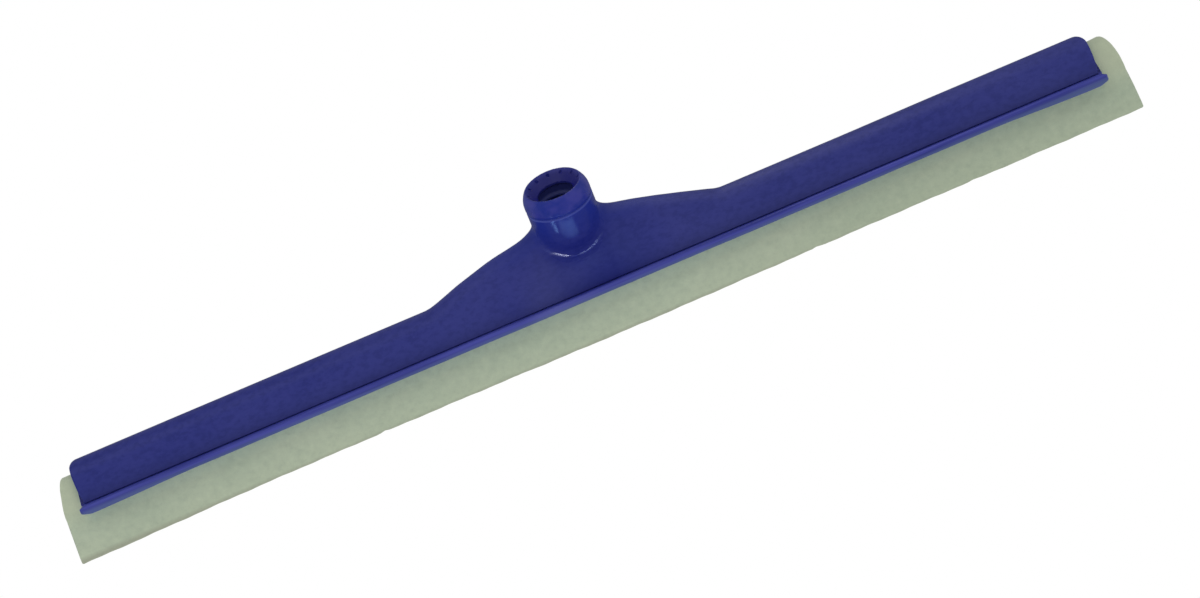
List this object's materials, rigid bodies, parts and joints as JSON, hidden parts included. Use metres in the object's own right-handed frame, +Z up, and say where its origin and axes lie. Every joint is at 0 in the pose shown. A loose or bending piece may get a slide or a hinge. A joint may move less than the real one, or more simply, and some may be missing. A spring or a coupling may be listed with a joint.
{
  "type": "floor squeegee head",
  "caption": "Long plastic floor squeegee head with a tilted handle socket, a slide-in blade holder and a folded double-lip rubber blade.",
  "frame": {"origin": "centre of the whole object's footprint, at the blade tips it stands on", "axes": "+X along the blade, towards the end where the blade sticks out a little further; -Y towards the side the handle socket leans to; +Z up, from the blade tips to the socket"},
  "size_m": [0.6, 0.0432, 0.0908],
  "materials": {
    "frame_plastic": "satin moulded polypropylene, dark blue",
    "holder_plastic": "satin moulded polypropylene, slightly brighter blue",
    "blade_rubber": "matte fine-celled natural foam rubber, pale grey-green",
    "core_plastic": "matte grey polypropylene, guessed"
  },
  "bodies": {
    "frame": {"handle_frame": "frame_plastic", "handle_neck": "frame_plastic"},
    "holder": {"blade_holder": "holder_plastic"},
    "blade": {"rubber_blade": "blade_rubber", "core_strip": "core_plastic"}
  },
  "joints": [
    {"name": "holder_slide", "type": "slide", "parent": "frame", "child": "holder", "axis": [1, 0, 0], "range_m": [-0.572, 0.572]},
    {"name": "blade_slide", "type": "slide", "parent": "holder", "child": "blade", "axis": [1, 0, 0], "range_m": [-0.585, 0.585]}
  ]
}
